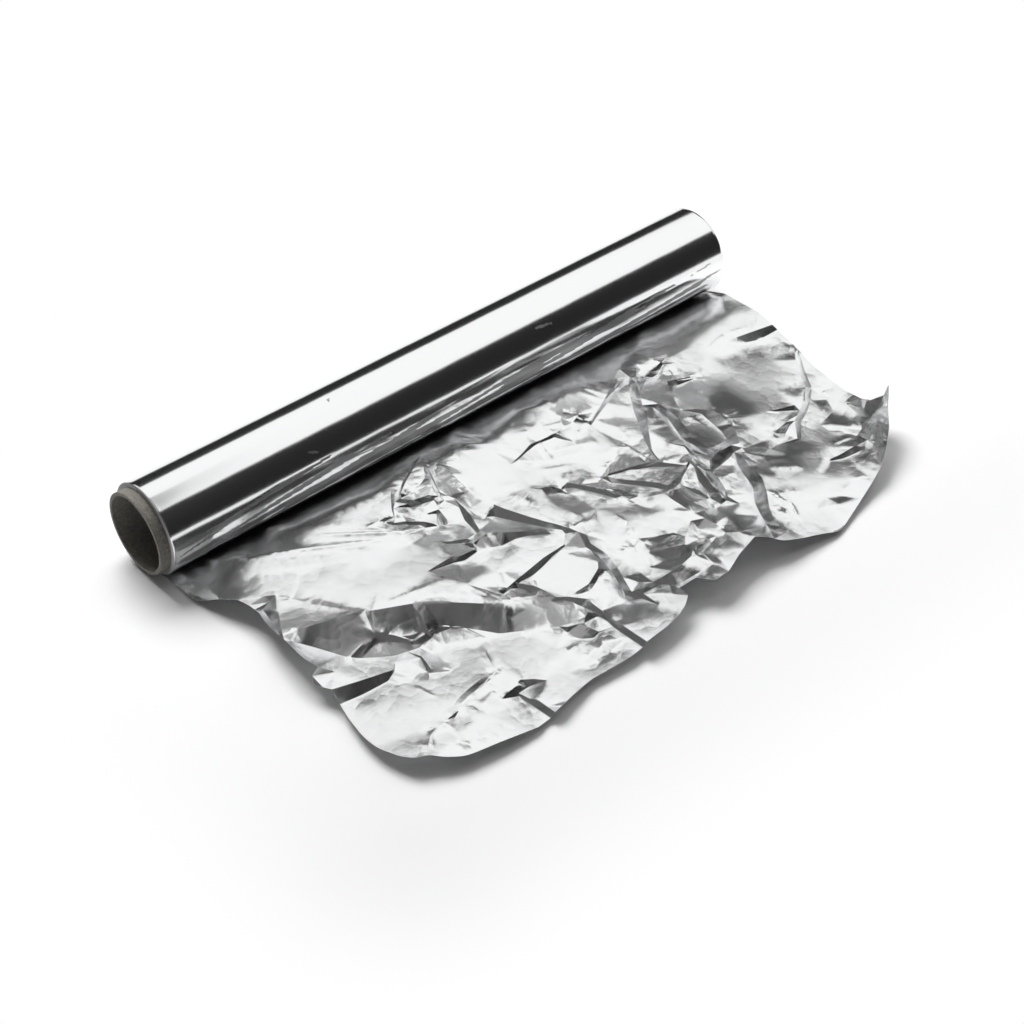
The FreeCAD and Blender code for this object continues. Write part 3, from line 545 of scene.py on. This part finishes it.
# Where the eye of the view sees places against the table, in millimetres
def seenFrom(places):
    eye = np.array(photoView["place"])
    share = (eye[2] - tableHeight) / (eye[2] - places[:, 2])
    return (eye[:2] + (places[:, :2] - eye[:2]) * share[:, None]) * 1000


# Height in metres that the fine creases add
def creaseRise(seen):
    rise = np.zeros(len(seen))
    for ax, ay, bx, by, height, leftWidth, rightWidth in sheetCreases:
        run = np.array([bx - ax, by - ay])
        length = float(np.hypot(*run))
        run = run / length
        offset = seen - (ax, ay)
        along = offset @ run / length
        side = offset[:, 1] * run[0] - offset[:, 0] * run[1]
        width = np.where(side > 0, leftWidth, rightWidth)
        wide = width > min(leftWidth, rightWidth)
        reach = np.where(wide, sheetShape["softReach"], sheetShape["sharpReach"]) * width
        power = np.where(wide, sheetShape["softFade"], sheetShape["sharpFade"])
        taper = np.sqrt(np.clip(along, 0, 1) * np.clip(1 - along, 0, 1) * 4)
        rise += height * taper * np.clip(1 - np.abs(side) / reach, 0, 1) ** power
    return rise / 1000


# How far places are outside the nearest fine crease, in millimetres
def creaseNearness(seen):
    nearest = np.full(len(seen), 1e3)
    for ax, ay, bx, by, height, leftWidth, rightWidth in sheetCreases:
        run = np.array([bx - ax, by - ay])
        along = np.clip((seen - (ax, ay)) @ run / (run @ run), 0, 1)
        distance = np.hypot(*(seen - (ax, ay) - along[:, None] * run).T)
        nearest = np.minimum(nearest, distance - max(leftWidth, rightWidth))
    return nearest


# Smaller faces where the fine creases are
def refine(piece):
    for turn in range(sheetShape["finePasses"]):
        work = bmesh.new()
        work.from_mesh(piece.data)
        near = creaseNearness(seenFrom(placesOf(piece.data))) < sheetShape["fineReach"]
        edges = [e for e in work.edges if near[e.verts[0].index] and near[e.verts[1].index]]
        bmesh.ops.subdivide_edges(work, edges=edges, cuts=1, use_grid_fill=True)
        work.to_mesh(piece.data)
        work.free()


# Heights of many short creased folds, stronger where the frame's corners lie close together
def crumple(places, corners):
    draw = np.random.default_rng(sheetShape["seed"])
    heights = np.zeros(len(places))
    centres = corners[draw.integers(0, len(corners), sheetShape["smallFolds"])][:, :2]
    centres = centres + draw.normal(0, sheetShape["foldScatter"], centres.shape)
    turns = draw.uniform(0, math.pi, len(centres))
    lengths = draw.uniform(*sheetShape["foldLengths"], len(centres))
    widths = draw.uniform(*sheetShape["foldWidths"], len(centres))
    rises = draw.uniform(*sheetShape["foldRises"], len(centres))
    for centre, turn, length, width, rise in zip(centres, turns, lengths, widths, rises):
        offset = places[:, :2] - centre
        along = np.abs(offset @ (math.cos(turn), math.sin(turn)))
        across = np.abs(offset @ (-math.sin(turn), math.cos(turn)))
        heights += rise * np.clip(1 - across / width, 0, 1) * np.clip(1 - along / length, 0, 1)
    flatTo, growth = sheetShape["flatUnderRoll"]
    clearOfRoll = np.clip((-places[:, 1] - flatTo) / growth, 0, 1)
    return heights * clearOfRoll


foilSheet = addSheet()
print("sheet has", len(foilSheet.data.polygons), "faces")


# The wound roll

rollShape = {
    "radius": -tableHeight,
    "depth": 0.002,
    "halfWidth": 0.15,
    "around": 240,
    "along": 380,
    "endRound": 0.00015,
    "endCalm": 1.5,  # millimetres from each end over which the wrinkles die away
    "wrinkleFade": 1.5,
    "splitAngle": 50.0,
    "turnsSeen": 16,
    "turnEdge": 0.00006,
}

# Wrinkles of the last turn: from (x, angle) to (x, angle), rise and half width. The angles are in
# degrees about the axis: 90 is the top, 180 the side of the pulled sheet. The rest is in millimetres.
rollWrinkles = [
    (-150, 200, -60, 168, 0.10, 2.2),
    (-150, 190, -95, 160, 0.08, 1.6),
    (-150, 178, -70, 158, 0.09, 1.8),
    (-146, 205, -20, 176, 0.12, 2.4),
    (-130, 208, 10, 184, 0.10, 2.0),
    (-118, 186, -30, 166, 0.07, 1.4),
    (-90, 198, 60, 172, 0.10, 2.2),
    (-60, 206, 40, 190, 0.12, 2.0),
    (-40, 178, 30, 165, 0.06, 1.2),
    (-10, 196, 110, 174, 0.10, 2.0),
    (10, 188, 80, 168, 0.08, 1.5),
    (20, 206, 140, 188, 0.10, 2.2),
    (50, 180, 120, 166, 0.07, 1.4),
    (70, 198, 150, 180, 0.09, 1.8),
    (-20, 168, 25, 160, 0.05, 1.0),
    (100, 172, 150, 163, 0.06, 1.3),
]

# Slight waves of the whole roll: length along it, lean round it, and height, in millimetres
rollWaves = [(61, 0.7, 0.010), (37, -1.3, 0.007), (23, 2.1, 0.004), (104, -0.4, 0.012)]

# Short nicks across the bright band
rollNicks = [
    (-98, 122, -90, 117, 0.05, 1.2),
    (-63, 114, -60, 92, 0.03, 0.9),
    (-30, 122, -21, 118, 0.05, 1.4),
    (-11, 98, -7, 86, 0.03, 0.9),
    (82, 104, 88, 94, 0.03, 0.9),
    (-84, 140, -76, 150, 0.05, 0.8),
    (40, 134, 52, 139, 0.05, 1.0),
]


# Points and quads of a closed profile of (x, radius) turned about the X axis
def ringGrid(profile, around):
    turn = np.linspace(0, 2 * math.pi, around, endpoint=False)
    points = np.array([(x, -r * math.sin(t), -r * math.cos(t)) for x, r in profile for t in turn])
    faces = []
    for i in range(len(profile)):
        low = i * around
        high = ((i + 1) % len(profile)) * around
        for k in range(around):
            n = (k + 1) % around
            faces.append((low + k, low + n, high + n, high + k))
    return points, faces


# How far one wrinkle lifts places at x and arc length along the roll's outside, in millimetres
def wrinkleRise(x, arc, line):
    perDegree = math.radians(1) * -tableHeight * 1000
    ax, ay, bx, by, rise, width = line
    start = np.array([ax, ay * perDegree])
    run = np.array([bx, by * perDegree]) - start
    length = float(np.hypot(*run))
    run = run / length
    along = (x - start[0]) * run[0] + (arc - start[1]) * run[1]
    off = np.abs((arc - start[1]) * run[0] - (x - start[0]) * run[1])
    taper = np.clip(along / length, 0, 1) * np.clip(1 - along / length, 0, 1) * 4
    return rise * np.sqrt(taper) * np.clip(1 - off / width, 0, 1) ** rollShape["wrinkleFade"]


def addRoll():
    shape = rollShape
    half = shape["halfWidth"]
    lip = shape["endRound"]
    outer = [(-half, shape["radius"] - lip)]
    outer += [(x, shape["radius"]) for x in np.linspace(-half + lip, half - lip, shape["along"])]
    outer += [(half, shape["radius"] - lip)]
    inner = [(x, shape["radius"] - shape["depth"]) for x in (half, -half)]
    points, faces = ringGrid(outer + inner, shape["around"])
    x = points[:, 0] * 1000
    turn = np.degrees(np.arctan2(points[:, 2], points[:, 1])) % 360  # 90 is the top
    arc = np.radians(turn) * shape["radius"] * 1000
    rise = sum(wrinkleRise(x, arc, line) for line in rollWrinkles + rollNicks)
    for length, lean, height in rollWaves:
        rise = rise + height * np.sin((x + lean * arc) * 2 * math.pi / length)
    onTop = np.hypot(points[:, 1], points[:, 2]) > shape["radius"] - 1e-6
    fade = np.clip((half * 1000 - np.abs(x)) / shape["endCalm"], 0, 1)
    points[:, 1:] *= (1 - rise * fade * onTop / 1000 / shape["radius"])[:, None]
    piece = meshPiece("foilRoll", points, faces)
    work = bmesh.new()
    work.from_mesh(piece.data)
    bmesh.ops.recalc_face_normals(work, faces=work.faces)
    work.to_mesh(piece.data)
    work.free()
    piece.data.set_sharp_from_angle(angle=math.radians(shape["splitAngle"]))
    # The ends and the inside of the roll take the edge foil, whose grey is painted shade between the turns
    piece.data.materials.append(brightFoil)
    piece.data.materials.append(shadedFoilEdge)
    for face in piece.data.polygons:
        if math.hypot(face.center.y, face.center.z) < shape["radius"] - lip / 4:
            face.material_index = 1
    return piece


# The edges of the turns, as a fine spiral on each end of the roll, in the edge foil whose grey is painted
# shade of the gaps between the turns
def addTurnEdges():
    shape = rollShape
    tree = bpy.data.node_groups.new("turnEdges", "GeometryNodeTree")
    tree.interface.new_socket("Geometry", in_out="OUTPUT", socket_type="NodeSocketGeometry")
    tree.interface.new_socket("Turns", in_out="INPUT", socket_type="NodeSocketFloat")
    tree.interface.new_socket("Inner radius", in_out="INPUT", socket_type="NodeSocketFloat")
    tree.interface.new_socket("Outer radius", in_out="INPUT", socket_type="NodeSocketFloat")
    tree.interface.new_socket("Edge", in_out="INPUT", socket_type="NodeSocketFloat")
    tree.interface.new_socket("Half width", in_out="INPUT", socket_type="NodeSocketFloat")
    given = tree.nodes.new("NodeGroupInput").outputs
    spiral = addNode(tree, "GeometryNodeCurveSpiral", {
        "Resolution": 72, "Rotations": given["Turns"], "Start Radius": given["Inner radius"],
        "End Radius": given["Outer radius"], "Height": 0.0,
    })
    thread = addNode(tree, "GeometryNodeCurvePrimitiveCircle", {
        "Resolution": 4, "Radius": given["Edge"],
    })
    edge = addNode(tree, "GeometryNodeCurveToMesh", {
        "Curve": spiral.outputs[0], "Profile Curve": thread.outputs[0], "Fill Caps": True,
    })
    ends = []
    for side in (-1, 1):
        place = plainMath(tree, "MULTIPLY", given["Half width"], float(side))
        offset = addNode(tree, "ShaderNodeCombineXYZ", {"X": place})
        ends.append(addNode(tree, "GeometryNodeTransform", {
            "Geometry": edge.outputs[0], "Translation": offset.outputs[0],
            "Rotation": (0.0, math.radians(90 * side), 0.0),
        }).outputs[0])
    both = tree.nodes.new("GeometryNodeJoinGeometry")
    for end in ends:
        tree.links.new(end, both.inputs[0])
    real = addNode(tree, "GeometryNodeRealizeInstances", {"Geometry": both.outputs[0]})
    dressed = addNode(tree, "GeometryNodeSetMaterial", {
        "Geometry": real.outputs[0], "Material": shadedFoilEdge,
    })
    result = tree.nodes.new("NodeGroupOutput")
    tree.links.new(dressed.outputs[0], result.inputs[0])

    piece = bpy.data.objects.new("turnEdges", bpy.data.meshes.new("turnEdges"))
    bpy.context.collection.objects.link(piece)
    winding = piece.modifiers.new("winding", "NODES")
    winding.node_group = tree
    values = {
        "Turns": float(shape["turnsSeen"]),
        "Inner radius": shape["radius"] - shape["depth"] + shape["turnEdge"],
        "Outer radius": shape["radius"] - shape["endRound"] - shape["turnEdge"],
        "Edge": shape["turnEdge"],
        "Half width": shape["halfWidth"],
    }
    for socket in tree.interface.items_tree:
        if socket.in_out == "INPUT":
            winding[socket.identifier] = values[socket.name]
    return madePlain(piece)


foilRoll = addRoll()
turnEdges = addTurnEdges()
print("roll has", len(foilRoll.data.polygons), "faces, its turns' edges", len(turnEdges.data.polygons))

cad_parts["core_tube"].data.materials.clear()
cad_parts["core_tube"].data.materials.append(tubeBoard)

for piece in (foilSheet, foilRoll, turnEdges):
    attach(piece, "root")
    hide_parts("foil")
